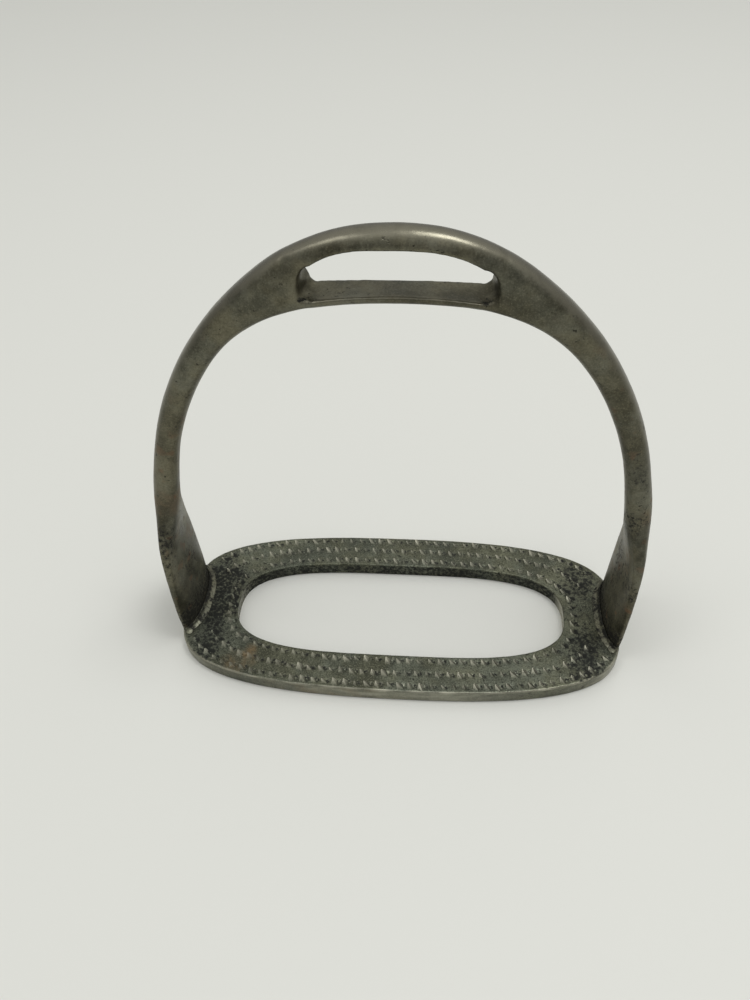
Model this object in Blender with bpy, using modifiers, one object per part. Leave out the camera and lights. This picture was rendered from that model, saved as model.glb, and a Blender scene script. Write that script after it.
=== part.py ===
"""Forged stirrup iron: a bow with a leather eye, a rasp-topped oval tread and two brazed feet.

Frame: origin at the centre of the tread's underside, +X across the iron, +Y from its front
to its back, +Z up. All dimensions below are in millimetres.
"""
import math

import bmesh
import bpy
import numpy as np

MM = 0.001
FIT_GAP = 0.2
MERGE = 0.00001
OVAL_STEPS = 4000
BEVEL_ANGLE = math.radians(50.0)
SHARP_ANGLE = math.radians(35.0)

# Tread ring: an open oval plate with straight walls.
TREAD_HALF_WIDTH = 61.5
TREAD_HALF_DEPTH = 27.5
TREAD_SHAPE = (2.56, 3.72)
HOLE_HALF_WIDTH = 46.6
HOLE_HALF_DEPTH = 16.0
HOLE_SHAPE = (3.6, 2.7)
TREAD_THICKNESS = 4.0
TREAD_EDGE = 0.55
OUTER_POINTS = 64
HOLE_POINTS = 56

# Rasp teeth on the tread's top: place of each row between rim (0) and hole (1).
TOOTH_ROWS = (0.17, 0.5, 0.83)
TOOTH_PITCH = 2.9
TOOTH_LENGTH = 1.9
TOOTH_WIDTH = 1.7
TOOTH_HEIGHT = 1.0
TOOTH_ROOT = 0.25
TOOTH_LEAN = 0.45
TOOTH_CLEAR_OF_FOOT = 4.2

# Feet of the bow, where they stand on the tread.
FOOT_TOP_GAP = TREAD_THICKNESS + FIT_GAP
FOOT_OUTER = 61.0
FOOT_INNER = 59.0
FOOT_FRONT = -10.9
FOOT_BACK = 12.2
FOOT_SQUARE = 5.0

# Tenon under each foot, which passes through the tread and ends level with its underside.
TENON_OUTER = 60.4
TENON_INNER = 59.2
TENON_FRONT = -5.5
TENON_BACK = 6.5
TENON_END = 0.1
TENON_ROUND = 0.5
TENON_SQUARE = 6.0

# Sections of half the bow, from the foot up to the middle of the crown:
# outer x, outer z, inner x, inner z, front y, back y, outer round, inner round, squareness.
BOW_SECTIONS = (
    (FOOT_OUTER, FOOT_TOP_GAP, FOOT_INNER, FOOT_TOP_GAP, FOOT_FRONT, FOOT_BACK, 1.0, 1.0, FOOT_SQUARE),
    (61.2, 8.0, 59.1, 8.0, -11.2, 12.4, 1.0, 1.0, 4.6),
    (61.4, 14.0, 59.3, 14.0, -11.3, 12.4, 1.0, 1.0, 4.2),
    (61.8, 21.0, 59.3, 21.0, -10.8, 11.9, 1.2, 1.2, 3.8),
    (62.4, 28.0, 59.0, 28.0, -9.7, 11.0, 1.6, 1.6, 3.4),
    (62.9, 34.0, 58.4, 34.0, -8.2, 9.6, 2.2, 2.1, 3.0),
    (62.9, 39.0, 57.3, 39.0, -6.2, 7.6, 2.8, 2.6, 2.6),
    (62.7, 43.5, 56.4, 43.5, -4.3, 5.1, 3.1, 2.8, 2.4),
    (62.0, 49.0, 55.4, 48.8, -3.2, 3.4, 3.3, 2.8, 2.3),
    (60.5, 56.0, 54.1, 55.6, -3.1, 3.1, 3.2, 2.7, 2.3),
    (57.7, 66.5, 51.8, 65.0, -3.2, 3.2, 3.0, 2.6, 2.3),
    (53.6, 77.4, 48.0, 75.0, -3.3, 3.3, 2.9, 2.6, 2.3),
    (47.7, 88.7, 42.3, 85.3, -3.4, 3.4, 2.9, 2.6, 2.3),
    (40.2, 99.0, 35.2, 94.0, -3.6, 3.6, 3.0, 2.5, 2.3),
    (31.8, 107.4, 27.9, 99.1, -3.7, 3.7, 3.1, 2.3, 2.2),
    (23.0, 113.9, 20.6, 101.9, -3.75, 3.75, 3.2, 2.2, 2.1),
    (12.5, 118.4, 11.9, 103.3, -3.75, 3.75, 3.2, 2.2, 2.0),
    (0.0, 119.9, 0.0, 103.9, -3.75, 3.75, 3.2, 2.2, 2.0),
)
STEPS_PER_SECTION = 3
ARC_STEPS = 8

# Leather eye, a slot from front to back under the crown.
EYE_HALF_WIDTH = 19.2
EYE_FLAT_HALF = 4.0
EYE_CEILING = 116.0
EYE_CEILING_DROP = 3.8
EYE_CEILING_SHAPE = 2.3
EYE_FLOOR = 106.5
EYE_FLOOR_DROP = 1.6
EYE_SIDE_SLANT = 0.8
EYE_CORNER = 1.2
EYE_POINTS = 8
CUTTER_DEPTH = 20.0

# Braze fillet round each foot: a C that is open towards the end of the tread.
BRAZE_START_ANGLE = 70.0
BRAZE_TOE_CENTRE = 58.6
BRAZE_TOE_HALF_WIDTH = 2.0
BRAZE_TOE_HALF_DEPTH = 13.3
BRAZE_TOE_SHAPE = 2.5
BRAZE_HEIGHT = 1.7
BRAZE_HOLLOW = 0.3
BRAZE_STEPS = 36

# Colour (linear), roughness and metallic value of each sub-part.
FINISHES = {
    "bow": ((0.105, 0.102, 0.080, 1.0), 0.40, 0.9),
    "tread_ring": ((0.090, 0.092, 0.074, 1.0), 0.45, 0.85),
    "foot_braze": ((0.140, 0.134, 0.098, 1.0), 0.50, 0.8),
}


def clear_scene():
    for old in list(bpy.data.objects):
        bpy.data.objects.remove(old, do_unlink=True)


def new_collection(name):
    group = bpy.data.collections.new(name)
    bpy.context.scene.collection.children.link(group)
    return group


def finish_material(name):
    colour, roughness, metallic = FINISHES[name]
    material = bpy.data.materials.new(name)
    material.use_nodes = True
    shader = material.node_tree.nodes["Principled BSDF"]
    shader.inputs["Base Color"].default_value = colour
    shader.inputs["Roughness"].default_value = roughness
    shader.inputs["Metallic"].default_value = metallic
    return material


def add_object(name, mesh, group):
    piece = bpy.data.objects.new(name, mesh)
    group.objects.link(piece)
    return piece


def signed_power(value, power):
    return math.copysign(abs(value) ** power, value)


def oval_point(angle, half_x, half_y, shape_x, shape_y):
    """A point of a squared oval, in its own centre."""
    x = half_x * signed_power(math.cos(angle), 2.0 / shape_x)
    y = half_y * signed_power(math.sin(angle), 2.0 / shape_y)
    return x, y


def even_oval(half_x, half_y, shape, count):
    """Points spread evenly along a squared oval, counter-clockwise from +X."""
    angles = np.linspace(0.0, 2.0 * math.pi, OVAL_STEPS + 1)
    track = np.array([oval_point(a, half_x, half_y, *shape) for a in angles])
    run = np.concatenate([[0.0], np.cumsum(np.hypot(*np.diff(track, axis=0).T))])
    places = np.arange(count) * run[-1] / count
    return np.column_stack([np.interp(places, run, track[:, 0]), np.interp(places, run, track[:, 1])])


def flat_plate(name, outlines, thickness, group):
    """A mesh plate in its local XY plane, centred on it, from closed outlines."""
    curve = bpy.data.curves.new(name + "_outline", "CURVE")
    curve.dimensions = "2D"
    curve.fill_mode = "BOTH"
    curve.extrude = 0.5 * thickness * MM
    for outline in outlines:
        spline = curve.splines.new("POLY")
        spline.points.add(len(outline) - 1)
        for point, (x, y) in zip(spline.points, outline):
            point.co = (x * MM, y * MM, 0.0, 1.0)
        spline.use_cyclic_u = True
    guide = add_object(name + "_curve", curve, group)
    bpy.context.view_layer.update()
    mesh = bpy.data.meshes.new_from_object(guide.evaluated_get(bpy.context.evaluated_depsgraph_get()))
    bpy.data.objects.remove(guide, do_unlink=True)
    solid = bmesh.new()
    solid.from_mesh(mesh)
    bmesh.ops.remove_doubles(solid, verts=solid.verts, dist=MERGE)
    bmesh.ops.recalc_face_normals(solid, faces=solid.faces)
    solid.to_mesh(mesh)
    solid.free()
    return add_object(name, mesh, group)


def hide_cutter(piece):
    piece.hide_render = True
    piece.display_type = "WIRE"
    return piece


def add_boolean(piece, cutter, operation):
    cut = piece.modifiers.new(operation.lower() + "_" + cutter.name, "BOOLEAN")
    cut.operation = operation
    cut.object = cutter
    cut.solver = "EXACT"


def bow_ring(section):
    """The closed outline of the bow at one section, as 3D points."""
    outer_x, outer_z, inner_x, inner_z, front, back, outer_round, inner_round, square = section
    outer = np.array([outer_x, outer_z])
    inner = np.array([inner_x, inner_z])
    width = np.linalg.norm(outer - inner)
    across = (outer - inner) / width
    middle = 0.5 * (front + back)
    half = 0.5 * (back - front)
    ring = []
    for side, edge, reach in ((1.0, width - outer_round, outer_round), (-1.0, inner_round, inner_round)):
        for step in range(ARC_STEPS + 1):
            angle = side * (math.pi * step / ARC_STEPS - 0.5 * math.pi)
            run = edge + side * reach * abs(math.cos(angle)) ** (2.0 / square)
            depth = middle + half * signed_power(math.sin(angle), 2.0 / square)
            place = inner + across * run
            ring.append((place[0], depth, place[1]))
    return ring


def smooth_sections(controls, steps):
    """Sections eased between the control sections, which are mirrored past the crown's middle."""
    rows = np.array(controls)
    beyond = rows[-3:-1][::-1] * np.array([-1, 1, -1, 1, 1, 1, 1, 1, 1])
    rows = np.vstack([rows, beyond])
    middles = 0.5 * (rows[:, 0:2] + rows[:, 2:4])
    run = np.concatenate([[0.0], np.cumsum(np.hypot(*np.diff(middles, axis=0).T))])
    slopes = np.gradient(rows, run, axis=0)
    result = []
    last = len(controls) - 1
    for index in range(last):
        length = run[index + 1] - run[index]
        for step in range(steps):
            t = step / steps
            start_weight = 2 * t ** 3 - 3 * t ** 2 + 1
            result.append(
                start_weight * rows[index]
                + (t ** 3 - 2 * t ** 2 + t) * length * slopes[index]
                + (1 - start_weight) * rows[index + 1]
                + (t ** 3 - t ** 2) * length * slopes[index + 1]
            )
    result.append(rows[last])
    return result


def loft(name, rings, cap_start, cap_end, group):
    """A skin over closed rings of equal point count."""
    mesh = bpy.data.meshes.new(name)
    skin = bmesh.new()
    rows = [[skin.verts.new([c * MM for c in point]) for point in ring] for ring in rings]
    count = len(rows[0])
    for lower, upper in zip(rows, rows[1:]):
        for index in range(count):
            after = (index + 1) % count
            skin.faces.new((lower[index], lower[after], upper[after], upper[index]))
    if cap_start:
        skin.faces.new(list(reversed(rows[0])))
    if cap_end:
        skin.faces.new(rows[-1])
    bmesh.ops.recalc_face_normals(skin, faces=skin.faces)
    if skin.calc_volume(signed=True) < 0.0:
        bmesh.ops.reverse_faces(skin, faces=skin.faces)
    skin.to_mesh(mesh)
    skin.free()
    return add_object(name, mesh, group)


def eye_cutter(group):
    """The slot's outline, drawn in XZ and pushed through from front to back."""
    top = []
    floor = []
    for step in range(EYE_POINTS + 1):
        share = step / EYE_POINTS
        x = EYE_FLAT_HALF + (EYE_HALF_WIDTH - EYE_SIDE_SLANT - EYE_FLAT_HALF) * share
        top.append((x, EYE_CEILING - EYE_CEILING_DROP * share ** EYE_CEILING_SHAPE))
        x = (EYE_HALF_WIDTH - EYE_CORNER) * share
        floor.append((x, EYE_FLOOR - EYE_FLOOR_DROP * share ** 2))
    floor.append((EYE_HALF_WIDTH, floor[-1][1] + EYE_CORNER))
    right = floor[1:] + top[::-1]
    outline = right + [(-x, z) for x, z in right[::-1]] + [floor[0]]
    cutter = flat_plate("eye_cutter", [outline], CUTTER_DEPTH, group)
    cutter.rotation_euler = (0.5 * math.pi, 0.0, 0.0)
    return hide_cutter(cutter)


def make_bow(group, cutters):
    sections = smooth_sections(BOW_SECTIONS, STEPS_PER_SECTION)
    tenon_shape = (TENON_FRONT, TENON_BACK, TENON_ROUND, TENON_ROUND, TENON_SQUARE)
    tenon = [(TENON_OUTER, z, TENON_INNER, z, *tenon_shape) for z in (TENON_END, FOOT_TOP_GAP)]
    rings = [bow_ring(section) for section in tenon + sections]
    bow = loft("bow", rings, True, False, group)
    mirror = bow.modifiers.new("both_legs", "MIRROR")
    mirror.use_axis = (True, False, False)
    mirror.merge_threshold = MERGE
    add_boolean(bow, eye_cutter(cutters), "DIFFERENCE")
    bow.data.materials.append(finish_material("bow"))
    return bow


def tooth_places():
    """Base points and directions of the teeth along each row of the tread."""
    places = []
    for row in TOOTH_ROWS:
        half_x = TREAD_HALF_WIDTH + (HOLE_HALF_WIDTH - TREAD_HALF_WIDTH) * row
        half_y = TREAD_HALF_DEPTH + (HOLE_HALF_DEPTH - TREAD_HALF_DEPTH) * row
        shape = [t + (h - t) * row for t, h in zip(TREAD_SHAPE, HOLE_SHAPE)]
        outline = even_oval(half_x, half_y, shape, OVAL_STEPS)
        length = np.sum(np.hypot(*(np.roll(outline, -1, axis=0) - outline).T))
        count = int(length / TOOTH_PITCH)
        track = even_oval(half_x, half_y, shape, count)
        ahead = np.roll(track, -1, axis=0) - np.roll(track, 1, axis=0)
        for (x, y), (dx, dy) in zip(track, ahead):
            near_x = abs(x) > FOOT_INNER - TOOTH_CLEAR_OF_FOOT
            near_y = FOOT_FRONT - TOOTH_CLEAR_OF_FOOT < y < FOOT_BACK + TOOTH_CLEAR_OF_FOOT
            if not (near_x and near_y):
                places.append((x, y, math.atan2(dy, dx)))
    return places


def make_teeth(group):
    """All rasp teeth as leaning four-sided points whose roots sit in the plate."""
    mesh = bpy.data.meshes.new("tooth_stock")
    stock = bmesh.new()
    base = TREAD_THICKNESS - TOOTH_ROOT
    corners = ((-0.5, -0.5), (0.5, -0.5), (0.5, 0.5), (-0.5, 0.5))
    for x, y, turn in tooth_places():
        along = np.array([math.cos(turn), math.sin(turn)])
        beside = np.array([-along[1], along[0]])
        foot = []
        for step, side in corners:
            spot = np.array([x, y]) + along * step * TOOTH_LENGTH + beside * side * TOOTH_WIDTH
            foot.append(stock.verts.new((spot[0] * MM, spot[1] * MM, base * MM)))
        tip_x = x + TOOTH_LEAN
        tip_y = y - TOOTH_LEAN
        tip = stock.verts.new((tip_x * MM, tip_y * MM, (TREAD_THICKNESS + TOOTH_HEIGHT) * MM))
        stock.faces.new(foot[::-1])
        for index in range(len(foot)):
            stock.faces.new((foot[index], foot[(index + 1) % len(foot)], tip))
    bmesh.ops.recalc_face_normals(stock, faces=stock.faces)
    stock.to_mesh(mesh)
    stock.free()
    return hide_cutter(add_object("tooth_stock", mesh, group))


def mortise_cutter(side, group):
    """The through slot for one tenon."""
    bpy.ops.mesh.primitive_cube_add(size=1.0)
    cutter = bpy.context.active_object
    cutter.name = "mortise_cutter_right" if side > 0 else "mortise_cutter_left"
    for owner in list(cutter.users_collection):
        owner.objects.unlink(cutter)
    group.objects.link(cutter)
    cutter.scale = (
        (TENON_OUTER - TENON_INNER + 2 * FIT_GAP) * MM,
        (TENON_BACK - TENON_FRONT + 2 * FIT_GAP) * MM,
        3 * TREAD_THICKNESS * MM,
    )
    cutter.location = (
        side * 0.5 * (TENON_OUTER + TENON_INNER) * MM,
        0.5 * (TENON_BACK + TENON_FRONT) * MM,
        0.5 * TREAD_THICKNESS * MM,
    )
    return hide_cutter(cutter)


def make_tread(group, cutters):
    outlines = [
        even_oval(TREAD_HALF_WIDTH, TREAD_HALF_DEPTH, TREAD_SHAPE, OUTER_POINTS),
        even_oval(HOLE_HALF_WIDTH, HOLE_HALF_DEPTH, HOLE_SHAPE, HOLE_POINTS),
    ]
    tread = flat_plate("tread_ring", outlines, TREAD_THICKNESS, group)
    tread.location = (0.0, 0.0, 0.5 * TREAD_THICKNESS * MM)
    edge = tread.modifiers.new("worn_edges", "BEVEL")
    edge.width = TREAD_EDGE * MM
    edge.segments = 2
    edge.limit_method = "ANGLE"
    edge.angle_limit = BEVEL_ANGLE
    add_boolean(tread, make_teeth(cutters), "UNION")
    for side in (-1, 1):
        add_boolean(tread, mortise_cutter(side, cutters), "DIFFERENCE")
    tread.data.materials.append(finish_material("tread_ring"))
    return tread


def make_braze(name, side, group):
    """A hollow-faced fillet that starts and ends at the outer corners of one foot."""
    centre_x = 0.5 * (FOOT_OUTER + FOOT_INNER)
    centre_y = 0.5 * (FOOT_FRONT + FOOT_BACK)
    root_half_x = 0.5 * (FOOT_OUTER - FOOT_INNER) + FIT_GAP
    root_half_y = 0.5 * (FOOT_BACK - FOOT_FRONT) + FIT_GAP
    first = math.radians(BRAZE_START_ANGLE)
    last = 2.0 * math.pi - first
    low = TREAD_THICKNESS + 0.5 * FIT_GAP
    rings = []
    for step in range(BRAZE_STEPS + 1):
        angle = first + (last - first) * step / BRAZE_STEPS
        root = np.array(oval_point(angle, root_half_x, root_half_y, FOOT_SQUARE, FOOT_SQUARE))
        toe_oval = (BRAZE_TOE_HALF_WIDTH, BRAZE_TOE_HALF_DEPTH, BRAZE_TOE_SHAPE, BRAZE_TOE_SHAPE)
        toe = np.array(oval_point(angle, *toe_oval))
        root += np.array([centre_x, centre_y])
        toe += np.array([BRAZE_TOE_CENTRE, centre_y])
        hollow = root + (toe - root) * BRAZE_HOLLOW
        ring = [
            (root[0], root[1], low),
            (toe[0], toe[1], low),
            (hollow[0], hollow[1], low + BRAZE_HEIGHT * BRAZE_HOLLOW),
            (root[0], root[1], low + BRAZE_HEIGHT),
        ]
        rings.append([(side * x, y, z) for x, y, z in ring])
    braze = loft(name, rings, True, True, group)
    braze.data.materials.append(bpy.data.materials.get("foot_braze") or finish_material("foot_braze"))
    return braze


def shade(piece):
    piece.data.shade_smooth()
    piece.data.set_sharp_from_angle(angle=SHARP_ANGLE)


def main():
    clear_scene()
    parts = new_collection("stirrup_iron")
    cutters = new_collection("cutters")
    shade(make_bow(parts, cutters))
    shade(make_tread(parts, cutters))
    shade(make_braze("left_foot_braze", -1, parts))
    shade(make_braze("right_foot_braze", 1, parts))


main()
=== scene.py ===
"""Looks of the stirrup iron: fine meshes, worn metal materials, stage, light and camera.

Lengths are in millimetres until MM turns them into Blender's metres; the camera, stage and lights
are in metres. The pairs handed to smoothstep are the ends of a ramp: 0 at the first, 1 at the second.
"""
import math
import random

import bmesh
import bpy
import numpy as np
from mathutils import Matrix, Vector, noise


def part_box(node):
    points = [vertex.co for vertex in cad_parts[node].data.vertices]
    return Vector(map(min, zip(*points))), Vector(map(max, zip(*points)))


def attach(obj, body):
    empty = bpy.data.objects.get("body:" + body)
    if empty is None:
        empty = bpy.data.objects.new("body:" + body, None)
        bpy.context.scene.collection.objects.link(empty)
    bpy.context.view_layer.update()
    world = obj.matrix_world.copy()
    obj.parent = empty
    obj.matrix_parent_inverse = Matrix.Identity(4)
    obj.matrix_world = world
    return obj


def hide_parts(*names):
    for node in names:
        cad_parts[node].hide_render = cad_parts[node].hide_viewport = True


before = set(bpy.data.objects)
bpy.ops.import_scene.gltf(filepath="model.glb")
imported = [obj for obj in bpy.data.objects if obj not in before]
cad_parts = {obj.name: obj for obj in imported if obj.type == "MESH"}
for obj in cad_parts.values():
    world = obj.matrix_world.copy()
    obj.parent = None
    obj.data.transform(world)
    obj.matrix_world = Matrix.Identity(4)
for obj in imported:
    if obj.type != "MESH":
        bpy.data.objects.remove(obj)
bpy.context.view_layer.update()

MM = 0.001
SIDES = (-1.0, 1.0)

# Camera: close above the front of the iron, looking down at the tread through the bow.
CAMERA_PLACE = (0.00935, -0.14264, 0.18762)
CAMERA_PITCH = math.radians(44.35)
CAMERA_YAW = math.radians(6.0)
CAMERA_ROLL = math.radians(2.35)
CAMERA_LENS = 28.8
CAMERA_SENSOR = 36.0
CAMERA_CLIP = 0.01

# Fine meshes grown from the CAD solids.
WELD = 0.005
BOW_VOXEL = 0.3
BOW_SMOOTH_PASSES = 26
BRAZE_VOXEL = 0.22
BRAZE_SMOOTH_PASSES = 4
SUBDIVISIONS = 2
CREASE_ANGLE = math.radians(38.0)
QUAD_FACE_ANGLE = math.radians(30.0)
QUAD_SHAPE_ANGLE = math.radians(60.0)
EASE_STEPS = (0.5, -0.52)
SOFTEN_STEP = 0.5

# Leather eye: its end, floor and ceiling, and the fall of the crown above it.
EYE_END = 19.4
EYE_FLOOR = 106.0
EYE_TOP = 112.4
CROWN_FALL = 0.0115
BAR_RISE = (102.6, 104.6)
EYE_BACK = (-3.4, 3.4)

# Ends of the eye, as shares of their distance from the middle: how far each lower corner is filled
# at the back, and how far each end reaches outward.
EYE_FILL = {-1.0: 0.095, 1.0: 0.065}
EYE_REACH = {-1.0: 0.0, 1.0: 0.07}
REACH_START = 27.0
REACH_SIDE = (2.0, 10.0)
REACH_DEPTH = (0.6, 3.0)

# Floor of the eye, levelled at the back: how much at LEVEL_SPAN from the middle and beyond, and
# between which heights.
FLOOR_LEVELLING = 1.1
LEVEL_SPAN = 17.0
LEVEL_RISE = (103.2, 104.6)
LEVEL_FADE = (110.5, 105.5)
LEVEL_ENDS = (24.0, 18.0)

# Ceiling of the eye: how far it falls at each end, over what span and by which power.
SHOULDER_DROP = {-1.0: (1.0, 18.0, 4), 1.0: (2.3, 23.0, 2)}
SHOULDER_DEPTH = (0.4, 2.6)
SHOULDER_RISE = (106.5, 112.0)
SHOULDER_ENDS = (26.0, 20.5)

# Worn corners of the eye: where they are, and how many passes soften each.
CORNER_ENDS = (22.5, 20.5)
CORNER_RISE = (102.0, 104.5)
END_START = (16.0, 18.0)
END_TOP = (114.5, 112.5)
CEILING_CORNER = (109.5, 111.0)
FRONT_CORNER = (0.0, -2.0)
AROUND_PASSES = 12
CEILING_PASSES = 20
FRONT_PASSES = 110

# Feet: how far the inner face of each swells toward the rider's boot, and where the swelling ends.
FOOT_SWELL = {-1.0: 2.4, 1.0: 1.8}
FOOT_CENTRE = 0.65
FOOT_HALF_DEPTH = 11.4
FOOT_FLANK = 2.6
SWELL_HEIGHTS = (34.0, 12.0)
SWELL_FACING = (0.0, -0.5)
SWELL_BOTTOM = (4.0, 4.2)
SWELL_OUTSIDE = (45.0, 52.0)
BRAZE_INSIDE = (59.6, 58.7)

# Hammer marks on the bow and lumps on the braze: height and width of each grain.
HAMMER = ((0.10, 16.0), (0.035, 5.0), (0.012, 1.6))
BRAZE_LUMPS = ((0.05, 2.4), (0.05, 0.9))

# Wear, dirt and painted shade on the bow. Rises here are shares of its height.
BOW_MIDDLE = 0.45
CROWN_RISE = (0.35, 0.95)
ROOT_RISE = (0.04, 0.13)
LOWER_RISE = (0.5, 0.1)
WEAR_FACING = (0.45, 0.95)
INSIDE_FACING = (-0.2, -0.7)
SEAT_ENDS = (20.5, 18.5)
SEAT_TOP = (115.0, 114.0)
SEAT_BOTTOM = (102.5, 104.0)
LIP_FRONT = (-2.3, -3.1)
LIP_FACING = (0.2, 0.5)

# Dark stains on the legs: x, z and radius.
STAINS = (
    (-61.5, 37.0, 4.5),
    (56.8, 46.0, 2.6),
    (57.0, 60.0, 2.2),
    (-54.0, 79.0, 2.2),
)
STAIN_FRONT = (4.0, -4.0)

# Dirt and painted shade in the front lower corners of the eye: its place and its size along each
# axis.
CORNER_DIRT_AND_SHADE = (18.4, -2.9, 105.3)
CORNER_DIRT_AND_SHADE_SIZE = (1.35, 1.3, 0.8)

# Tread: the ring's shape; its overall size comes from the frame.
TREAD_SHAPE = (2.56, 3.72)
HOLE_SHAPE = (3.6, 2.7)
RIM_TO_HOLE_X = 14.9
RIM_TO_HOLE_Y = 11.5
PLATE_THICKNESS = 4.0
OVAL_STEPS = 8001
RING_STEPS = 900
TOP_STEPS = 34
WALL_STEPS = 9
RIM_ROUND = 0.55
HOLE_ROUND = 0.5
UNDER_ROUND = 0.3
HOLE_UNDER_BEVEL = 0.2
HOLE_WALL_SHIFT = 0.1
HOLE_DRAFT = 0.008
ROUND_STEPS = 4

# Rasp teeth: each row is a share of the way from rim to hole. The middle row stops beside the feet.
TOOTH_SEED = 7
MIDDLE_ROW = 0.49
TOOTH_ROWS = (0.16, MIDDLE_ROW, 0.84)
TOOTH_PITCH = 2.88
TOOTH_SIZE = 1.15
TOOTH_SIZES = (0.72, 1.2)
TOOTH_STRAY = 0.18
TOOTH_TURN = 0.3
TOOTH_ROOT = 0.18
TOOTH_HEIGHT = 0.58
TOOTH_CLEAR = 1.2
TOOTH_CLEAR_DEPTH = 0.4
ROW_STEPS = 400
BARE_LENGTH = 46.0
BARE_DEPTH = 11.0
TOOTH_TIP = ((-0.52, 0.3), (-0.36, 0.2), (-0.3, 0.38), (-0.44, 0.44))
TOOTH_BACK = (-6.0, 8.0)
TOOTH_NARROWING = 0.4
TOOTH_SHARP_ANGLE = math.radians(28.0)

# The pit punched beside each tooth, as shares of its size.
PIT_OFFSET = (0.95, -0.1)
PIT_DEPTH = 0.27
PIT_WIDTH = 0.42
PIT_LENGTH = 0.8
PIT_LIMIT = 0.4
PIT_REACH = 2.2
# Dirt and painted shadow beside each tooth: its width as a share of the tooth's size, and its reach
# in millimetres.
PIT_DIRT_AND_SHADOW_WIDTH = 0.55
PIT_DIRT_AND_SHADOW_REACH = 2.0

# Rust on the front left of the tread: centre and half size of the patch, then of the spot in it.
RUST_PATCH = (-42.5, -20.0, 6.0, 4.0)
RUST_SPOT = (-40.0, -16.3, 2.2, 2.2)

# The run of bright teeth in the middle of the front.
BRIGHT_RUN = (-8.0, -17.5)
BRIGHT_REACH = (9.0, 4.0)

# Darkening round the feet: how far in from the rim and behind the middle it centres, and how it
# fades.
FOOT_FROM_RIM = 9.0
FOOT_LINE = 1.0
FOOT_SPREAD = 0.23
FOOT_DARKENING = (2.0, 8.5)
RIGHT_FOOT = (46.0, 50.0)
RIGHT_FOOT_DEPTH = (9.0, 4.0)

# Ends of the hole's wall, which are polished toward the front, and the clean part of the top.
RIGHT_END = (40.0, 45.0)
LEFT_END = (-38.0, -44.0)
ENDS_DEPTH = (9.0, 3.0)
CLEAN_RIGHT = (-34.0, -18.0)
CLEAN_BACK = (2.0, 12.0)

# Rust along the rim, which grows toward the left.
RIM_RUST = (10.0, -20.0)

# Widths of the grains in the metal, and how strongly they show.
PATINA = {
    "broad": 14.0,
    "medium": 3.2,
    "fine": 0.45,
    "speck": 1.1,
    "grit": 0.4,
    "tint": 11.0,
    "crumbs": 0.95,
}
BROAD_SHARE = 0.6
MEDIUM_SHARE = 0.4
MOTTLE_SHARE = 0.65
PIT_SHARE = 0.75
GRIME_AND_SHADE_SHARE = 0.96
CRUMB_WEIGHT = 2.2
CRUMB_RANGE = (1.43, 1.84)
WARM_TINT = (1.03, 1.0, 0.91)
COOL_TINT = (0.98, 1.0, 1.0)
WORN_ROUGHNESS = 0.26
DIRT_ROUGHNESS = 0.75
RUST_ROUGHNESS = 0.7
DIRT_METALLIC = 0.25

# Stage, and the place, target, size and power of each light.
FLOOR_SIZE = 6.0
FLOOR_DROP = 0.00005
FLOOR_COLOUR = (0.675, 0.68, 0.645)
FLOOR_ROUGHNESS = 0.6
LIGHTS = {
    "ceiling": ((0.31, 0.05, 1.1), (0.0, 0.0, 0.05), (0.38, 0.38), 3.9),
    "window": ((-0.5, -0.1, 1.0), (0.0, 0.0, 0.03), (0.35, 0.35), 1.2),
}
WORLD_COLOUR = (1.0, 1.0, 0.97, 1.0)
WORLD_SEEN = 0.68
WORLD_RAMPS = (
    ("Y", -0.7, 0.8, 0.22, 0.38),
    ("Z", 0.1, 0.95, 0.0, 0.55),
    ("X", -0.8, 0.8, 0.0, 0.06),
)


def link(name, mesh):
    piece = bpy.data.objects.new(name, mesh)
    bpy.context.scene.collection.objects.link(piece)
    return piece


def smoothstep(low, high, value):
    share = np.clip((value - low) / (high - low), 0.0, 1.0)
    return share * share * (3.0 - 2.0 * share)


def coords(mesh, field="co"):
    flat = np.empty(len(mesh.vertices) * 3, np.float32)
    mesh.vertices.foreach_get(field, flat)
    return flat.reshape(-1, 3).astype(float)


def set_coords(mesh, places):
    mesh.vertices.foreach_set("co", places.astype(np.float32).ravel())
    mesh.update()


def set_mask(mesh, name, values):
    layer = mesh.attributes.new(name, "FLOAT", "POINT")
    layer.data.foreach_set("value", np.clip(values, 0.0, 1.0).astype(np.float32))


def grain(places, size, seed=0.0):
    """Perlin noise at each place, with features about size millimetres wide."""
    shift = Vector((seed * 17.3, seed * 5.1, seed * 9.7))
    scale = 1.0 / (size * MM)
    return np.array([noise.noise(Vector(p) * scale + shift) for p in places])


def lumps(places, grains, seed):
    """Sum of grains, each with its own height and width, in millimetres."""
    total = 0.0
    for index, (height, width) in enumerate(grains):
        total = total + height * grain(places, width, seed + index)
    return total


def outward_share(flat, normals):
    """How far each normal points away from the middle of the tread."""
    return np.sum(normals[:, :2] * flat / np.linalg.norm(flat, axis=1, keepdims=True), axis=1)


def edge_ends(mesh):
    pairs = np.empty(len(mesh.edges) * 2, np.int32)
    mesh.edges.foreach_get("vertices", pairs)
    return pairs.reshape(-1, 2).T


def neighbour_totals(places, ends, others):
    return np.column_stack([np.bincount(ends, places[others, k], len(places)) for k in range(3)])


def ease(mesh, passes):
    """Evens out a mesh without shrinking it."""
    places = coords(mesh)
    first, second = edge_ends(mesh)
    ends = np.concatenate([first, second])
    others = np.concatenate([second, first])
    valence = np.bincount(ends, minlength=len(places))[:, None]
    for _ in range(passes):
        for weight in EASE_STEPS:
            totals = neighbour_totals(places, ends, others)
            places = places + weight * (totals / valence - places)
    set_coords(mesh, places)


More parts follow.
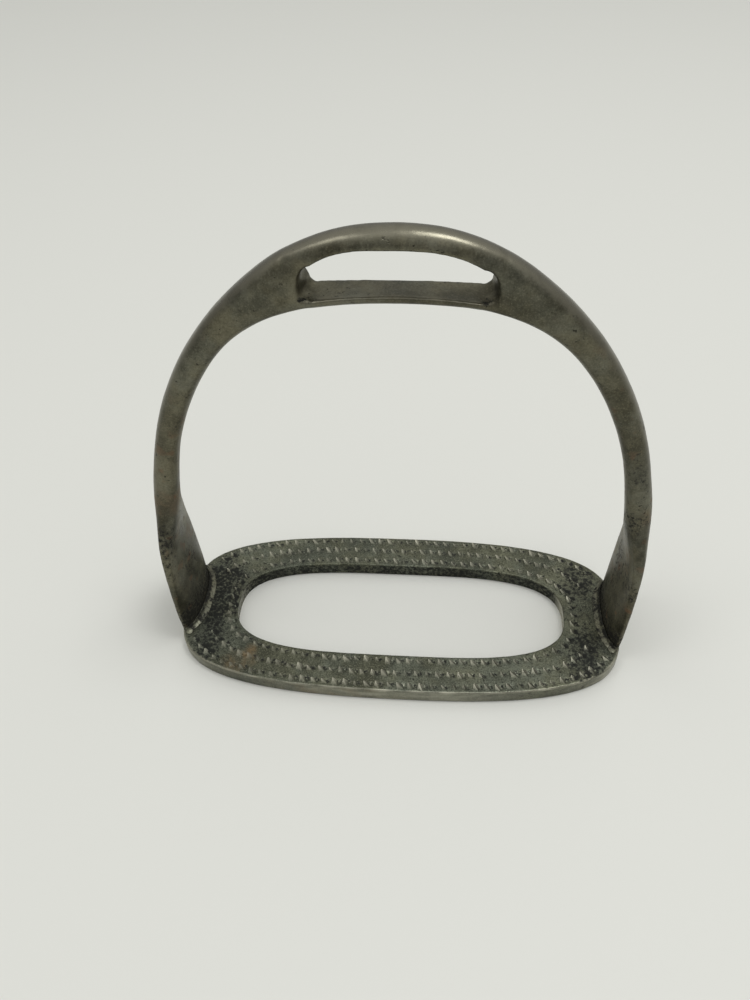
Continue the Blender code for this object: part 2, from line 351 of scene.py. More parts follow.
def soften(mesh, passes, weight):
    """Rounds off the corners of a mesh, by as much as the weight of each vertex."""
    places = coords(mesh)
    first, second = edge_ends(mesh)
    touched = (weight[first] > 0) | (weight[second] > 0)
    first, second = first[touched], second[touched]
    ends = np.concatenate([first, second])
    others = np.concatenate([second, first])
    valence = np.maximum(np.bincount(ends, minlength=len(places)), 1)[:, None]
    for _ in range(passes):
        totals = neighbour_totals(places, ends, others)
        places = places + SOFTEN_STEP * weight[:, None] * (totals / valence - places)
    set_coords(mesh, places)


def foot_swell(places):
    """How far the inner face of a foot stands in from the flat at each place, in metres."""
    away = np.clip(np.abs(places[:, 1] / MM - FOOT_CENTRE) / FOOT_HALF_DEPTH, 0.0, 1.0)
    reach = np.where(places[:, 0] < 0, FOOT_SWELL[-1.0], FOOT_SWELL[1.0])
    return reach * (1.0 - away ** FOOT_FLANK) * smoothstep(*SWELL_HEIGHTS, places[:, 2] / MM) * MM


def fine_copy(node, name, voxel, passes):
    """A smooth, even mesh in the shape of a CAD node."""
    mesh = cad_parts[node].data.copy()
    mesh.materials.clear()
    solid = bmesh.new()
    solid.from_mesh(mesh)
    bmesh.ops.remove_doubles(solid, verts=solid.verts, dist=WELD * MM)
    bmesh.ops.join_triangles(
        solid,
        faces=solid.faces,
        angle_face_threshold=QUAD_FACE_ANGLE,
        angle_shape_threshold=QUAD_SHAPE_ANGLE,
    )
    crease = solid.edges.layers.float.new("crease_edge")
    for edge in solid.edges:
        if len(edge.link_faces) == 2 and edge.calc_face_angle(0.0) > CREASE_ANGLE:
            edge[crease] = 1.0
    solid.to_mesh(mesh)
    solid.free()
    source = link(name + "_source", mesh)
    smooth = source.modifiers.new("smooth", "SUBSURF")
    smooth.levels = SUBDIVISIONS
    smooth.render_levels = SUBDIVISIONS
    cells = source.modifiers.new("cells", "REMESH")
    cells.mode = "VOXEL"
    cells.voxel_size = voxel * MM
    view = bpy.context.evaluated_depsgraph_get()
    fine = bpy.data.meshes.new_from_object(source.evaluated_get(view))
    bpy.data.objects.remove(source, do_unlink=True)
    ease(fine, passes)
    fine.shade_smooth()
    fine.name = name
    return link(name, fine)


def hand_over(piece, node, material):
    """Gives a piece its material and puts it in the place of its CAD node."""
    piece.data.materials.append(material)
    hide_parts(node)
    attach(piece, "root")


# ---------------------------------------------------------------- materials

def node_tree(name):
    material = bpy.data.materials.new(name)
    material.use_nodes = True
    tree = material.node_tree
    return material, tree, tree.nodes["Principled BSDF"]


def feed(tree, socket, value):
    """Sets a socket to a number or a colour, or links another socket to it."""
    if isinstance(value, (int, float)):
        socket.default_value = value
    elif isinstance(value, tuple):
        socket.default_value = (*value, 1.0)
    else:
        tree.links.new(value, socket)


def noise_node(tree, place, size, detail=6.0, rough=0.55, distortion=0.0):
    """Noise whose features are about size millimetres wide."""
    item = tree.nodes.new("ShaderNodeTexNoise")
    item.inputs["Scale"].default_value = 1.0 / (size * MM)
    item.inputs["Detail"].default_value = detail
    item.inputs["Roughness"].default_value = rough
    item.inputs["Distortion"].default_value = distortion
    tree.links.new(place, item.inputs["Vector"])
    return item.outputs["Fac"]


def ramp(tree, value, low, high, start=0.0, end=1.0):
    item = tree.nodes.new("ShaderNodeMapRange")
    item.interpolation_type = "SMOOTHSTEP"
    item.inputs["From Min"].default_value = low
    item.inputs["From Max"].default_value = high
    item.inputs["To Min"].default_value = start
    item.inputs["To Max"].default_value = end
    tree.links.new(value, item.inputs["Value"])
    return item.outputs["Result"]


def math_node(tree, operation, first, second):
    item = tree.nodes.new("ShaderNodeMath")
    item.operation = operation
    for socket, value in zip(item.inputs, (first, second)):
        feed(tree, socket, value)
    return item.outputs[0]


def mix_colour(tree, share, first, second, blend="MIX"):
    item = tree.nodes.new("ShaderNodeMix")
    item.data_type = "RGBA"
    item.blend_type = blend
    for index, value in ((0, share), (6, first), (7, second)):
        feed(tree, item.inputs[index], value)
    return item.outputs[2]


def mix_value(tree, share, first, second):
    item = tree.nodes.new("ShaderNodeMix")
    item.data_type = "FLOAT"
    for index, value in ((0, share), (2, first), (3, second)):
        feed(tree, item.inputs[index], value)
    return item.outputs[0]


def mask_node(tree, name):
    item = tree.nodes.new("ShaderNodeAttribute")
    item.attribute_name = name
    return item.outputs["Fac"]


def bump_node(tree, height, distance, strength, before=None):
    item = tree.nodes.new("ShaderNodeBump")
    item.inputs["Distance"].default_value = distance * MM
    item.inputs["Strength"].default_value = strength
    tree.links.new(height, item.inputs["Height"])
    if before is not None:
        tree.links.new(before, item.inputs["Normal"])
    return item.outputs["Normal"]


def scaled(colour, factor):
    return tuple(factor * part for part in colour)


def worn_metal(name, dark, light, polish_and_highlight, grime_and_shade, rust, metallic, coarse):
    """Old metal: mottled patina, dark specks, polished wear and painted highlight, dirt and painted
    shade, and rust, by mask.
    """
    material, tree, shader = node_tree(name)
    place = tree.nodes.new("ShaderNodeTexCoord").outputs["Object"]
    broad = noise_node(tree, place, PATINA["broad"], 5.0, 0.6, 0.4)
    medium = noise_node(tree, place, PATINA["medium"], 6.0, 0.62)
    fine = noise_node(tree, place, PATINA["fine"], 4.0, 0.6)
    speck = noise_node(tree, place, PATINA["speck"], 3.0, 0.5)
    grit = noise_node(tree, place, PATINA["grit"], 3.0, 0.75)
    mottle = MOTTLE_SHARE * coarse

    blend = math_node(
        tree,
        "ADD",
        math_node(tree, "MULTIPLY", broad, BROAD_SHARE),
        math_node(tree, "MULTIPLY", medium, MEDIUM_SHARE),
    )
    colour = mix_colour(tree, ramp(tree, blend, 0.36, 0.64), dark, light)
    shade = ramp(tree, fine, 0.42, 0.7, 0.0, mottle)
    colour = mix_colour(tree, shade, colour, scaled(dark, 0.6))
    glint = ramp(tree, grit, 0.5, 0.72, 0.0, mottle)
    colour = mix_colour(tree, glint, colour, scaled(light, 1.5))
    tint = ramp(tree, noise_node(tree, place, PATINA["tint"], 4.0, 0.6), 0.38, 0.62)
    tint = mix_colour(tree, tint, WARM_TINT, COOL_TINT)
    colour = mix_colour(tree, 1.0, colour, tint, "MULTIPLY")

    # Polish; on the tread it is partly a painted highlight.
    wear_and_highlight = mask_node(tree, "wear_and_highlight")
    wear_and_highlight_share = math_node(tree, "MULTIPLY", wear_and_highlight, ramp(tree, medium, 0.3, 0.6, 0.65, 1.0))
    colour = mix_colour(tree, wear_and_highlight_share, colour, polish_and_highlight)

    pits = ramp(tree, speck, 0.64, 0.70)
    pits = math_node(tree, "MULTIPLY", pits, ramp(tree, broad, 0.42, 0.55))
    pits = math_node(tree, "MULTIPLY", pits, math_node(tree, "SUBTRACT", 1.0, wear_and_highlight))
    pit_share = math_node(tree, "MULTIPLY", pits, PIT_SHARE)
    colour = mix_colour(tree, pit_share, colour, scaled(dark, 0.25))

    patches = ramp(tree, medium, 0.36, 0.62, 0.1, 0.6)
    rust_share = math_node(tree, "MULTIPLY", mask_node(tree, "rust"), patches)
    colour = mix_colour(tree, rust_share, colour, rust)

    crumbs = noise_node(tree, place, PATINA["crumbs"], 5.0, 0.72)
    crumbs = math_node(tree, "MULTIPLY", crumbs, CRUMB_WEIGHT)
    # The dark mix: dirt and painted shade from the mask, plus random crumbs of dirt.
    dirt_and_shade = math_node(tree, "ADD", mask_node(tree, "grime_and_shade"), crumbs)
    grime_and_shade_share = math_node(tree, "MULTIPLY", ramp(tree, dirt_and_shade, *CRUMB_RANGE), GRIME_AND_SHADE_SHARE)
    colour = mix_colour(tree, grime_and_shade_share, colour, grime_and_shade)
    tree.links.new(colour, shader.inputs["Base Color"])

    rough = mix_value(tree, ramp(tree, medium, 0.3, 0.7), 0.36, 0.5)
    rough = mix_value(tree, wear_and_highlight_share, rough, WORN_ROUGHNESS)
    rough = mix_value(tree, grime_and_shade_share, rough, DIRT_ROUGHNESS)
    rough = mix_value(tree, rust_share, rough, RUST_ROUGHNESS)
    tree.links.new(rough, shader.inputs["Roughness"])
    covered = math_node(tree, "MAXIMUM", grime_and_shade_share, rust_share)
    metal = mix_value(tree, covered, metallic, DIRT_METALLIC)
    tree.links.new(metal, shader.inputs["Metallic"])
    tree.links.new(mix_value(tree, grime_and_shade_share, 0.5, 0.12), shader.inputs["Specular IOR Level"])

    normal = bump_node(tree, medium, 0.12, 0.35 * coarse)
    normal = bump_node(tree, fine, 0.05, 0.4 * coarse, normal)
    normal = bump_node(tree, math_node(tree, "SUBTRACT", 1.0, pits), 0.1, 0.6, normal)
    tree.links.new(normal, shader.inputs["Normal"])
    return material


# ---------------------------------------------------------------- bow

def shape_eye(mesh, top):
    """Fills, reaches, levels and arches the leather eye, then rounds its corners."""
    places = coords(mesh) / MM
    across = np.abs(places[:, 0])
    rise = places[:, 2]  # a view, which follows the heights as they change below
    toward_back = smoothstep(*EYE_BACK, places[:, 1])
    whole = smoothstep(*BAR_RISE, rise)
    fill = toward_back * smoothstep(EYE_TOP, EYE_FLOOR, rise) * whole
    below_crown = (top / MM - CROWN_FALL * across ** 2) - rise
    for side in SIDES:
        near = smoothstep(REACH_START, EYE_END, across)
        near *= smoothstep(*REACH_SIDE, side * places[:, 0])
        near *= smoothstep(*REACH_DEPTH, below_crown)
        places[:, 0] *= 1.0 + near * (EYE_REACH[side] * whole - EYE_FILL[side] * fill)
    level = toward_back * smoothstep(*LEVEL_RISE, rise) * smoothstep(*LEVEL_FADE, rise)
    level *= smoothstep(*LEVEL_ENDS, across)
    places[:, 2] += FLOOR_LEVELLING * level * np.minimum(across / LEVEL_SPAN, 1.0) ** 2
    shoulder = smoothstep(*SHOULDER_DEPTH, below_crown) * smoothstep(*SHOULDER_RISE, rise)
    shoulder *= smoothstep(*SHOULDER_ENDS, across)
    for side, (drop, span, power) in SHOULDER_DROP.items():
        arch = drop * (np.minimum(across, SHOULDER_ENDS[1]) / span) ** power
        places[:, 2] -= shoulder * arch * (side * places[:, 0] > 0)
    set_coords(mesh, places * MM)
    around = smoothstep(*CORNER_ENDS, across) * smoothstep(*CORNER_RISE, rise)
    ends = around * smoothstep(*END_START, across) * smoothstep(*END_TOP, rise)
    soften(mesh, AROUND_PASSES, around)
    soften(mesh, CEILING_PASSES, ends * smoothstep(*CEILING_CORNER, rise))
    soften(mesh, FRONT_PASSES, ends * smoothstep(*FRONT_CORNER, places[:, 1]))


def swell_feet(mesh):
    places = coords(mesh)
    normals = coords(mesh, "normal")
    side = np.sign(places[:, 0])
    inner = smoothstep(*SWELL_FACING, side * normals[:, 0])
    inner *= smoothstep(*SWELL_BOTTOM, places[:, 2] / MM)
    inner *= smoothstep(*SWELL_OUTSIDE, np.abs(places[:, 0]) / MM)
    places[:, 0] -= side * inner * foot_swell(places)
    set_coords(mesh, places)
    return places


def bow_wear(places, normals, facing, crown):
    """Polish on the crown and outer edges, little of it inside the eye, some on its front lip."""
    wear_and_highlight = smoothstep(*WEAR_FACING, facing) * (0.25 + 0.75 * crown)
    height = places[:, 2] / MM
    seat = smoothstep(*SEAT_ENDS, np.abs(places[:, 0]) / MM) * smoothstep(*SEAT_TOP, height)
    seat *= smoothstep(*SEAT_BOTTOM, height)
    lip = seat * smoothstep(*LIP_FRONT, places[:, 1] / MM) * smoothstep(*LIP_FACING, normals[:, 2])
    return wear_and_highlight * (1.0 - 0.95 * seat) + 0.45 * lip


def bow_grime_and_shade(places, facing, rise, crown):
    """Dirt and painted shade at the leg roots and in the eye's lower corners; darker lower down;
    stains on the legs.
    """
    # Darker at the roots of the legs, most on their inner faces: dirt and painted shade where the
    # legs meet the tread.
    root = 1.0 - smoothstep(*ROOT_RISE, rise + 0.02 * grain(places, 5.0, 4.0))
    inside = smoothstep(*INSIDE_FACING, facing)
    clouds = smoothstep(-0.2, 0.4, grain(places, 9.0, 5.0)) * (1.0 - 0.8 * crown)
    # Darker toward the bottom of the legs.
    lower = smoothstep(*LOWER_RISE, rise)
    grime_and_shade = root * (0.06 + 0.3 * inside) + 0.1 + 0.14 * lower + 0.2 * clouds
    front = smoothstep(*STAIN_FRONT, places[:, 1] / MM)
    for x, z, reach in STAINS:
        gap = (places[:, (0, 2)] / MM - (x, z)) / reach
        edge = np.linalg.norm(gap, axis=1) + 0.5 * grain(places, 2.5, 9.0)
        grime_and_shade += 0.20 * front * smoothstep(1.4, 0.0, edge)
    # Dirt and painted shade in the front lower corners of the eye.
    for side in SIDES:
        x, y, z = CORNER_DIRT_AND_SHADE
        corner = (places / MM - (side * x, y, z)) / CORNER_DIRT_AND_SHADE_SIZE
        edge = np.linalg.norm(corner, axis=1) + 0.6 * grain(places, 1.0, 6.0)
        grime_and_shade += 0.6 * smoothstep(1.3, 0.3, edge)
    return grime_and_shade


def make_bow(material):
    bow = fine_copy("bow", "bow_forging", BOW_VOXEL, BOW_SMOOTH_PASSES)
    mesh = bow.data
    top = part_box("bow")[1].z
    shape_eye(mesh, top)
    places = swell_feet(mesh)
    normals = coords(mesh, "normal")
    hammer = lumps(places, HAMMER, 1.0)
    outward = places - (0.0, 0.0, BOW_MIDDLE * top)
    outward[:, 1] = 0.0
    outward /= np.linalg.norm(outward, axis=1, keepdims=True)
    facing = np.sum(outward * normals, axis=1)
    rise = places[:, 2] / top
    crown = smoothstep(*CROWN_RISE, rise)
    set_coords(mesh, places + normals * hammer[:, None] * MM)
    set_mask(mesh, "wear_and_highlight", bow_wear(places, normals, facing, crown))
    set_mask(mesh, "grime_and_shade", bow_grime_and_shade(places, facing, rise, crown))
    spots = smoothstep(0.38, 0.55, grain(places, 2.4, 7.0))
    spots += 0.5 * smoothstep(0.2, 0.5, grain(places, 8.0, 8.0))
    set_mask(mesh, "rust", 0.8 * spots * (1.0 - crown))
    hand_over(bow, "bow", material)


# ---------------------------------------------------------------- tread

def signed_power(value, power):
    return np.sign(value) * np.abs(value) ** power


def even_oval(half_x, half_y, shape, count):
    """Points spread evenly along a squared oval, counter-clockwise from +X."""
    angles = np.linspace(0.0, 2.0 * math.pi, OVAL_STEPS)
    track = np.column_stack([
        half_x * signed_power(np.cos(angles), 2.0 / shape[0]),
        half_y * signed_power(np.sin(angles), 2.0 / shape[1]),
    ])
    run = np.concatenate([[0.0], np.cumsum(np.hypot(*np.diff(track, axis=0).T))])
    spots = np.arange(count) * run[-1] / count
    return np.column_stack([np.interp(spots, run, track[:, k]) for k in range(2)])


def tread_sizes():
    low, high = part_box("tread_ring")
    half_x = 0.5 * (high.x - low.x) / MM
    half_y = 0.5 * (high.y - low.y) / MM
    return half_x, half_y


def beside_foot(x, y, feet):
    clear_depth = TOOTH_CLEAR * TOOTH_CLEAR_DEPTH
    return any(
        low.x / MM - TOOTH_CLEAR < x < high.x / MM + TOOTH_CLEAR
        and low.y / MM - clear_depth < y < high.y / MM + clear_depth
        for low, high in feet
    )


def tooth_spots(chance):
    """Place, size and turn of each tooth, with the unevenness of hand cutting."""
    half_x, half_y = tread_sizes()
    feet = [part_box(side + "_foot_braze") for side in ("left", "right")]
    spots = []
    for row in TOOTH_ROWS:
        shape = [t + (h - t) * row for t, h in zip(TREAD_SHAPE, HOLE_SHAPE)]
        sizes = (half_x - RIM_TO_HOLE_X * row, half_y - RIM_TO_HOLE_Y * row)
        coarse = even_oval(*sizes, shape, ROW_STEPS)
        length = np.sum(np.hypot(*(np.roll(coarse, -1, axis=0) - coarse).T))
        for x, y in even_oval(*sizes, shape, int(length / TOOTH_PITCH)):
            x += chance.uniform(-TOOTH_STRAY, TOOTH_STRAY)
            y += chance.uniform(-TOOTH_STRAY, TOOTH_STRAY)
            size = TOOTH_SIZE * chance.uniform(*TOOTH_SIZES)
            turn = chance.uniform(-TOOTH_TURN, TOOTH_TURN)
            bare = row == MIDDLE_ROW and abs(x) > BARE_LENGTH and abs(y) < BARE_DEPTH
            if not bare and not beside_foot(x, y, feet):
                spots.append((x, y, size, turn))
    return spots


def tread_profile():
    """The ring's section: share of the way from rim to hole, inset in millimetres, height.

    An inset of None means that the share runs over the flat top, between its two rounded edges.
    """
    turns = [0.5 * math.pi * step / ROUND_STEPS for step in range(ROUND_STEPS + 1)]
    shoulder = PLATE_THICKNESS - RIM_ROUND
    wall = np.linspace(UNDER_ROUND, shoulder, WALL_STEPS)[1:-1]
    profile = [
        (0.0, UNDER_ROUND * (1 - math.sin(turn)), UNDER_ROUND * (1 - math.cos(turn)))
        for turn in turns
    ]
    profile += [(0.0, 0.0, z) for z in wall]
    for turn in turns:
        inset = RIM_ROUND * (1 - math.cos(turn))
        profile.append((0.0, inset, shoulder + RIM_ROUND * math.sin(turn)))
    for step in range(1, TOP_STEPS):
        profile.append((step / TOP_STEPS, None, PLATE_THICKNESS))
    for turn in turns:
        inset = -HOLE_ROUND * (1 - math.sin(turn))
        profile.append((1.0, inset, PLATE_THICKNESS - HOLE_ROUND * (1 - math.cos(turn))))
    profile += [(1.0, 0.0, z) for z in wall[::-1] - HOLE_WALL_SHIFT]
    profile.append((1.0, 0.0, HOLE_UNDER_BEVEL))
    profile.append((1.0, -HOLE_UNDER_BEVEL, 0.0))
    return profile


def tread_plate():
    """The ring as a closed mesh whose section runs from underside to rim, top, hole and back."""
    half_x, half_y = tread_sizes()
    rim = even_oval(half_x, half_y, TREAD_SHAPE, RING_STEPS)
    hole = even_oval(half_x - RIM_TO_HOLE_X, half_y - RIM_TO_HOLE_Y, HOLE_SHAPE, RING_STEPS)
    across = hole - rim
    width = np.linalg.norm(across, axis=1, keepdims=True)
    across /= width
    rings = []
    for share, inset, z in tread_profile():
        if inset is None:
            run = RIM_ROUND + (width - RIM_ROUND - HOLE_ROUND) * share
        else:
            run = width * share + inset
        rings.append(np.column_stack([rim + across * run, np.full(RING_STEPS, z)]))
    faces = []
    for row in range(len(rings)):
        here = row * RING_STEPS
        beyond = (row + 1) % len(rings) * RING_STEPS
        for step in range(RING_STEPS):
            after = (step + 1) % RING_STEPS
            faces.append((here + step, here + after, beyond + after, beyond + step))
    mesh = bpy.data.meshes.new("rasp_tread")
    mesh.from_pydata((np.concatenate(rings) * MM).tolist(), [], faces)
    mesh.update()
    return mesh


def tread_relief(mesh, spots):
    """Wears the plate: uneven top, a punched pit beside each tooth, small nicks on the rim."""
    places = coords(mesh)
    normals = coords(mesh, "normal")
    flat = places[:, :2] / MM
    top = smoothstep(0.5, 0.95, normals[:, 2])
    pits = np.zeros(len(places))
    for x, y, size, _ in spots:
        gap = flat - (x, y)
        near = np.hypot(gap[:, 0], gap[:, 1]) < PIT_REACH
        pit = gap[near] - np.array(PIT_OFFSET) * size
        spread = (pit[:, 0] ** 2 + (PIT_LENGTH * pit[:, 1]) ** 2) / (PIT_WIDTH * size) ** 2
        pits[near] += PIT_DEPTH * size * np.exp(-spread)
    waves = 0.06 * grain(places, 7.0, 11.0) + 0.03 * grain(places, 2.2, 12.0)
    nicks = 0.05 * grain(places, 4.0, 13.0) + 0.025 * grain(places, 1.2, 14.0)
    move = top * (waves - np.minimum(pits, PIT_LIMIT))
    move += (1 - top) * nicks * smoothstep(-0.5, 0.0, normals[:, 2])
    places = places + normals * move[:, None] * MM
    hole_wall = smoothstep(0.3, 0.7, -outward_share(flat, normals))
    depth = 1.0 - np.clip(places[:, 2] / MM / PLATE_THICKNESS, 0.0, 1.0)
    places[:, 0] *= 1.0 + HOLE_DRAFT * depth * hole_wall
    set_coords(mesh, places)


def tooth(stock, x, y, size, turn):
    """One burr: a leaning four-sided point with a worn tip, narrower at the back of the tread."""
    c, s = math.cos(turn), math.sin(turn)
    narrow = TOOTH_NARROWING * float(smoothstep(*TOOTH_BACK, y))
    foot = ((-0.5 + narrow, -1.0), (1.05, -1.2), (0.6, 0.45), (-0.5, 0.55))
    rings = []
    for outline, height in ((foot, -TOOTH_ROOT), (TOOTH_TIP, TOOTH_HEIGHT * size)):
        ring = []
        for dx, dy in outline:
            spot_x = x + size * (c * dx - s * dy)
            spot_y = y + size * (s * dx + c * dy)
            spot_z = PLATE_THICKNESS + height
            ring.append(stock.verts.new((spot_x * MM, spot_y * MM, spot_z * MM)))
        rings.append(ring)
    base, top = rings
    stock.faces.new(base[::-1])
    stock.faces.new(top)
    for index in range(4):
        after = (index + 1) % 4
        stock.faces.new((base[index], base[after], top[after], top[index]))


def make_tread(material):
    spots = tooth_spots(random.Random(TOOTH_SEED))
    mesh = tread_plate()
    tread_relief(mesh, spots)
    tread = link("rasp_tread", mesh)
    stock = bmesh.new()
    for spot in spots:
        tooth(stock, *spot)
    teeth_mesh = bpy.data.meshes.new("teeth")
    stock.to_mesh(teeth_mesh)
    stock.free()
    teeth = link("teeth_stock", teeth_mesh)
    union = tread.modifiers.new("teeth", "BOOLEAN")
    union.operation = "UNION"
    union.solver = "MANIFOLD"
    union.object = teeth
    view = bpy.context.evaluated_depsgraph_get()
    joined = bpy.data.meshes.new_from_object(tread.evaluated_get(view))
    bpy.data.objects.remove(tread, do_unlink=True)
    bpy.data.objects.remove(teeth, do_unlink=True)
    joined.materials.clear()
    slots = np.zeros(len(joined.polygons), np.int32)
    joined.polygons.foreach_set("material_index", slots)
    joined.shade_smooth()
    joined.set_sharp_from_angle(angle=TOOTH_SHARP_ANGLE)
    tread = link("rasp_tread", joined)
    tread_masks(joined, spots)
    hand_over(tread, "tread_ring", material)


def tread_masks(mesh, spots):
    """Darker round the feet and on the hole's wall, dirt and painted shadow in the pits, polish and
    painted highlight on the teeth and edges, rust at the front left.
    """
    places = coords(mesh)
    normals = coords(mesh, "normal")
    flat = places[:, :2] / MM
    x_at, y_at = flat.T
    height = places[:, 2] / MM
    outward = outward_share(flat, normals)
    on_top = smoothstep(PLATE_THICKNESS - 0.4, PLATE_THICKNESS - 0.1, height)
    raised = smoothstep(PLATE_THICKNESS + 0.15, PLATE_THICKNESS + 0.7, height)
    hole_side = smoothstep(0.2, 0.8, -outward)
    right_end = smoothstep(*RIGHT_END, x_at) * smoothstep(*ENDS_DEPTH, y_at)
    left_end = smoothstep(*LEFT_END, x_at) * smoothstep(*ENDS_DEPTH, y_at)

    # Dirt and painted shadow in the pit beside each tooth.
    dirt_and_shade = np.zeros(len(places))
    for x, y, size, _ in spots:
        gap = flat - (x + PIT_OFFSET[0] * size, y)
        near = np.hypot(gap[:, 0], gap[:, 1]) < PIT_DIRT_AND_SHADOW_REACH
        dirt_and_shade[near] += np.exp(-np.sum(gap[near] ** 2, axis=1) / (PIT_DIRT_AND_SHADOW_WIDTH * size) ** 2)
    # Darker round the feet.
    from_foot = np.abs(x_at) - tread_sizes()[0] + FOOT_FROM_RIM
    foot_gap = np.hypot(from_foot, FOOT_SPREAD * (y_at - FOOT_LINE))
    cloud = grain(places, 6.0, 21.0)
    feet = 1.0 - smoothstep(*FOOT_DARKENING, foot_gap + 4.5 * cloud)
    feet *= 1.0 - 0.15 * (x_at > 0)
    right_foot = smoothstep(*RIGHT_FOOT, x_at)
    right_foot *= smoothstep(*RIGHT_FOOT_DEPTH, np.abs(y_at - FOOT_LINE))
    feet *= 1.0 - 0.5 * right_foot
    grime_and_shade = on_top * (0.5 * feet + 0.72 * np.minimum(dirt_and_shade, 1.0) + 0.17) * (1.0 - 0.85 * raised)
    # The hole's wall is darker, less so toward its ends.
    wall_darkening = 0.66 + 0.3 * grain(places, 13.0, 24.0) - 0.66 * right_end - 0.3 * left_end
    grime_and_shade += wall_darkening * hole_side * (1.0 - on_top)
    set_mask(mesh, "grime_and_shade", grime_and_shade)

    # Polish and painted highlight: a bright line along the rim's top edge, bright teeth, a lighter
    # outer wall and lighter ends of the hole's wall.
    edge = smoothstep(PLATE_THICKNESS - 0.55, PLATE_THICKNESS - 0.25, height)
    edge *= 1.0 - smoothstep(PLATE_THICKNESS - 0.03, PLATE_THICKNESS + 0.05, height)
    edge *= smoothstep(0.15, 0.5, outward)
    edge *= 0.6 + 0.8 * grain(places, 5.0, 23.0)
    streaks = grain(places * (0.25, 0.25, 1.6), 1.6, 22.0)
    wall = smoothstep(0.6, 0.9, outward) * (0.42 + 0.3 * streaks)
    shine = hole_side * (1.0 - on_top) * (right_end + 0.3 * left_end)
    clean = np.maximum(smoothstep(*CLEAN_RIGHT, x_at), smoothstep(*CLEAN_BACK, y_at))
    bright = 0.5 + 0.45 * clean
    bright *= 0.85 + 0.9 * grain(places, 3.0, 25.0)
    run_gap = np.hypot(x_at - BRIGHT_RUN[0], 2.0 * (y_at - BRIGHT_RUN[1]))
    bright += 0.6 * smoothstep(*BRIGHT_REACH, run_gap)
    set_mask(mesh, "wear_and_highlight", np.maximum.reduce([edge, bright * raised, wall, shine]))

    patch, spot = (
        np.hypot((x_at - x) / reach_x, (y_at - y) / reach_y)
        for x, y, reach_x, reach_y in (RUST_PATCH, RUST_SPOT)
    )
    rust = 1.0 - smoothstep(0.3, 1.1, np.minimum(patch, spot) + 0.3 * cloud)
    rust *= 1.0 - 0.5 * raised
    rim_rust = smoothstep(0.6, 0.9, outward) * smoothstep(*RIM_RUST, x_at)
    rim_rust *= smoothstep(-0.3, 0.4, grain(places, 3.5, 26.0))
    set_mask(mesh, "rust", np.maximum(rust, 0.5 * rim_rust))


# ---------------------------------------------------------------- braze

def make_braze(side, material):
    node = side + "_foot_braze"
    braze = fine_copy(node, side + "_braze_fillet", BRAZE_VOXEL, BRAZE_SMOOTH_PASSES)
    mesh = braze.data
    places = coords(mesh)
    inside = smoothstep(*BRAZE_INSIDE, np.abs(places[:, 0]) / MM)
    places[:, 0] -= np.sign(places[:, 0]) * inside * foot_swell(places)
    set_coords(mesh, places)
    normals = coords(mesh, "normal")
    lump = lumps(places, BRAZE_LUMPS, 31.0)
    set_coords(mesh, places + normals * lump[:, None] * MM)
    low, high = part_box(node)
    rise = (places[:, 2] - low.z) / (high.z - low.z)
    # Painted shade on the upper middle of the fillet, where it meets the leg, which also keeps it
    # unpolished.
    upper_painted_shade = smoothstep(0.2, 0.7, rise)
    upper_painted_shade *= smoothstep(1.0, 0.6, np.abs(places[:, 1]) / high.y)
    wear_and_highlight = smoothstep(-0.2, 0.6, grain(places, 3.0, 33.0)) * 0.35 * (1.0 - upper_painted_shade)
    dirt_and_shade = 0.26 * smoothstep(-0.2, 0.4, grain(places, 2.2, 34.0) + 0.25 * rise)
    set_mask(mesh, "wear_and_highlight", wear_and_highlight)
    set_mask(mesh, "grime_and_shade", 0.3 + dirt_and_shade + 0.28 * upper_painted_shade)
    set_mask(mesh, "rust", np.zeros(len(places)))
    hand_over(braze, node, material)


# ---------------------------------------------------------------- stage

def make_stage():
    material, _, shader = node_tree("pale_floor")
    shader.inputs["Base Color"].default_value = (*FLOOR_COLOUR, 1.0)
    shader.inputs["Roughness"].default_value = FLOOR_ROUGHNESS
    bpy.ops.mesh.primitive_plane_add(size=FLOOR_SIZE, location=(0.0, 0.0, -FLOOR_DROP))
    floor = bpy.context.active_object
    floor.name = "floor"
    floor.data.materials.append(material)


def area_light(name, place, target, size, power):
    data = bpy.data.lights.new(name, "AREA")
    data.shape = "RECTANGLE"
    data.size, data.size_y = size
    data.energy = power
    lamp = bpy.data.objects.new(name, data)
    bpy.context.scene.collection.objects.link(lamp)
    lamp.location = place
    aim = Vector(target) - Vector(place)
    lamp.rotation_euler = aim.to_track_quat("-Z", "Y").to_euler()


def make_lights():
    world = bpy.data.worlds.new("studio")
    bpy.context.scene.world = world
    world.use_nodes = True
    tree = world.node_tree
    split = tree.nodes.new("ShaderNodeSeparateXYZ")
    tree.links.new(tree.nodes.new("ShaderNodeTexCoord").outputs["Generated"], split.inputs[0])
    front, above, right = (
        ramp(tree, split.outputs[axis], *ends) for axis, *ends in WORLD_RAMPS
    )
    strength = math_node(tree, "ADD", math_node(tree, "ADD", front, above), right)
    seen = tree.nodes.new("ShaderNodeLightPath").outputs["Is Camera Ray"]
    background = tree.nodes["Background"]
    background.inputs["Color"].default_value = WORLD_COLOUR
    tree.links.new(mix_value(tree, seen, strength, WORLD_SEEN), background.inputs["Strength"])
    for name, setting in LIGHTS.items():
        area_light(name, *setting)


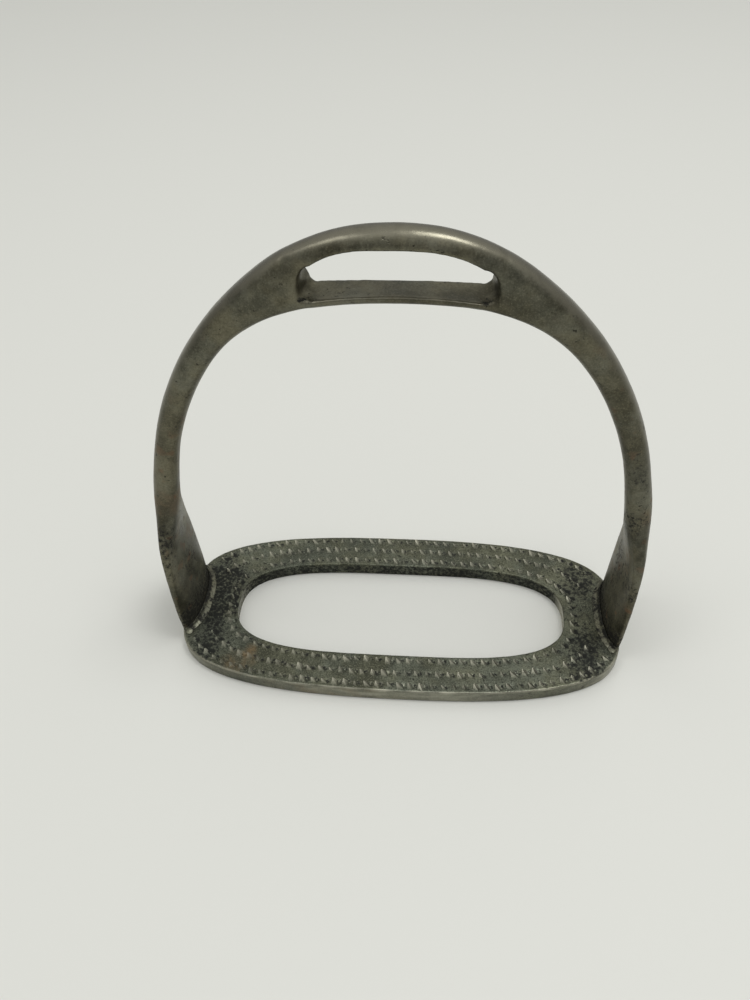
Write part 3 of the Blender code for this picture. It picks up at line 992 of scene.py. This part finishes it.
def turned(vector):
    c, s = math.cos(CAMERA_YAW), math.sin(CAMERA_YAW)
    return Vector((c * vector[0] - s * vector[1], s * vector[0] + c * vector[1], vector[2]))


def make_camera():
    data = bpy.data.cameras.new("camera")
    data.lens = CAMERA_LENS
    data.sensor_width = CAMERA_SENSOR
    data.clip_start = CAMERA_CLIP
    camera = bpy.data.objects.new("camera", data)
    bpy.context.scene.collection.objects.link(camera)
    forward = turned((0.0, math.cos(CAMERA_PITCH), -math.sin(CAMERA_PITCH)))
    level = turned((1.0, 0.0, 0.0))
    fall = turned((0.0, -math.sin(CAMERA_PITCH), -math.cos(CAMERA_PITCH)))
    c, s = math.cos(CAMERA_ROLL), math.sin(CAMERA_ROLL)
    right = c * level + s * fall
    down = -s * level + c * fall
    turn = Matrix((right, -down, -forward)).transposed().to_4x4()
    camera.matrix_world = Matrix.Translation(CAMERA_PLACE) @ turn
    bpy.context.scene.camera = camera


def main():
    # The grime colour of each metal stands for real dirt and for painted shade.
    steel = worn_metal(
        "aged_bow_steel",
        dark=(0.066, 0.063, 0.046),
        light=(0.180, 0.173, 0.130),
        polish_and_highlight=(0.165, 0.156, 0.12),
        grime_and_shade=(0.020, 0.020, 0.017),
        rust=(0.16, 0.075, 0.03),
        metallic=0.9,
        coarse=0.5,
    )
    tread_steel = worn_metal(
        "worn_tread_steel",
        dark=(0.055, 0.058, 0.043),
        light=(0.140, 0.148, 0.112),
        # The tread's bright polished colour is partly a painted highlight on its teeth and edges.
        polish_and_highlight=(0.50, 0.485, 0.39),
        grime_and_shade=(0.017, 0.018, 0.016),
        rust=(0.19, 0.115, 0.042),
        metallic=0.85,
        coarse=1.4,
    )
    fillet = worn_metal(
        "tarnished_braze",
        dark=(0.075, 0.075, 0.056),
        light=(0.18, 0.18, 0.135),
        polish_and_highlight=(0.24, 0.232, 0.175),
        grime_and_shade=(0.02, 0.02, 0.018),
        rust=(0.16, 0.075, 0.03),
        metallic=0.8,
        coarse=1.0,
    )
    make_bow(steel)
    make_tread(tread_steel)
    make_braze("left", fillet)
    make_braze("right", fillet)
    make_stage()
    make_lights()
    make_camera()
    bpy.context.scene.view_settings.view_transform = "Standard"


main()
